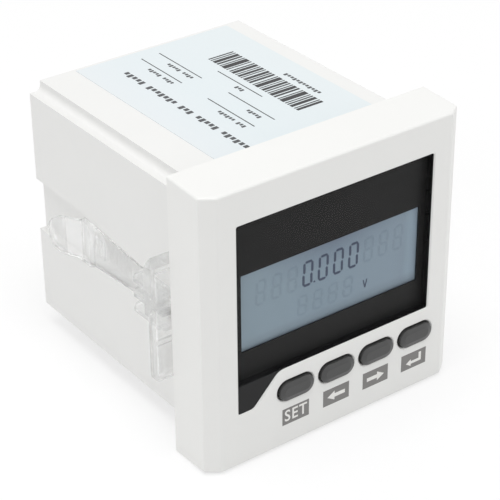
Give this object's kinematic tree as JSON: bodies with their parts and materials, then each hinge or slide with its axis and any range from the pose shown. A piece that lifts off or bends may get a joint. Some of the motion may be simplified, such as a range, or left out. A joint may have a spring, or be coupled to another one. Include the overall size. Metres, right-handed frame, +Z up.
{
  "type": "digital panel meter",
  "caption": "Square panel meter with a liquid crystal display, a row of sprung keys, rear screw terminals and a clear ratchet clip on each side.",
  "frame": {"origin": "centre of the bezel's back face, in the plane where it meets the panel", "axes": "+Y runs back through the panel along the housing, +Z is up, +X is to the right seen from the front"},
  "size_m": [0.0802, 0.0874, 0.072],
  "materials": {
    "white_front": "fine matt",
    "smoked_lens": "clear over a black border",
    "black_plastic": "matt",
    "display_glass": "grey-blue liquid crystal",
    "soft_rubber": "matt",
    "light_guide": "milky",
    "board_green": "solder mask",
    "plated_steel": "zinc plated",
    "chip_black": "matt",
    "key_grey": "satin",
    "white_case": "fine matt",
    "label_film": "printed film",
    "clear_plastic": "clear",
    "core_steel": "laminated, varnished",
    "coil_tape": "tape over copper",
    "capacitor_sleeve": "sleeve",
    "potted_case": "satin",
    "terminal_plastic": "satin",
    "plated_brass": "tin plated"
  },
  "bodies": {
    "case": {"front_bezel": "white_front", "window_lens": "smoked_lens", "lcd_frame": "black_plastic", "lcd_cell": "display_glass", "contact_strip": "soft_rubber", "backlight": "light_guide", "display_board": "board_green", "display_screws": "plated_steel", "display_chip": "chip_black", "key_switches": "chip_black", "housing": "white_case", "rear_cover": "white_case", "cover_screws": "plated_steel", "rating_label": "label_film", "main_board": "board_green", "front_header": "chip_black", "rear_header": "chip_black", "transformer_core": "core_steel", "transformer_coil": "coil_tape", "capacitors": "capacitor_sleeve", "sense_transformer": "potted_case", "meter_chip": "chip_black", "terminal_board": "board_green", "upper_terminal_block": "terminal_plastic", "lower_terminal_block": "terminal_plastic", "terminal_screws": "plated_steel", "terminal_cages": "plated_brass"},
    "key_set_body": {"key_set": "key_grey", "plunger_set": "chip_black"},
    "key_left_arrow_body": {"key_left_arrow": "key_grey", "plunger_left_arrow": "chip_black"},
    "key_right_arrow_body": {"key_right_arrow": "key_grey", "plunger_right_arrow": "chip_black"},
    "key_enter_body": {"key_enter": "key_grey", "plunger_enter": "chip_black"},
    "left_clip_body": {"left_clip": "clear_plastic"},
    "right_clip_body": {"right_clip": "clear_plastic"}
  },
  "joints": [
    {"name": "key_set_press", "type": "slide", "parent": "case", "child": "key_set_body", "axis": [0, 1, 0], "range_m": [0, 0.0006], "stiffness_N_per_m": 2000, "springref_m": -0.0003},
    {"name": "key_left_arrow_press", "type": "slide", "parent": "case", "child": "key_left_arrow_body", "axis": [0, 1, 0], "range_m": [0, 0.0006], "stiffness_N_per_m": 2000, "springref_m": -0.0003},
    {"name": "key_right_arrow_press", "type": "slide", "parent": "case", "child": "key_right_arrow_body", "axis": [0, 1, 0], "range_m": [0, 0.0006], "stiffness_N_per_m": 2000, "springref_m": -0.0003},
    {"name": "key_enter_press", "type": "slide", "parent": "case", "child": "key_enter_body", "axis": [0, 1, 0], "range_m": [0, 0.0006], "stiffness_N_per_m": 2000, "springref_m": -0.0003},
    {"name": "left_clip_slide", "type": "slide", "parent": "case", "child": "left_clip_body", "axis": [0, 1, 0], "range_m": [-0.0012, 0.03]},
    {"name": "right_clip_slide", "type": "slide", "parent": "case", "child": "right_clip_body", "axis": [0, 1, 0], "range_m": [-0.0012, 0.03]}
  ]
}
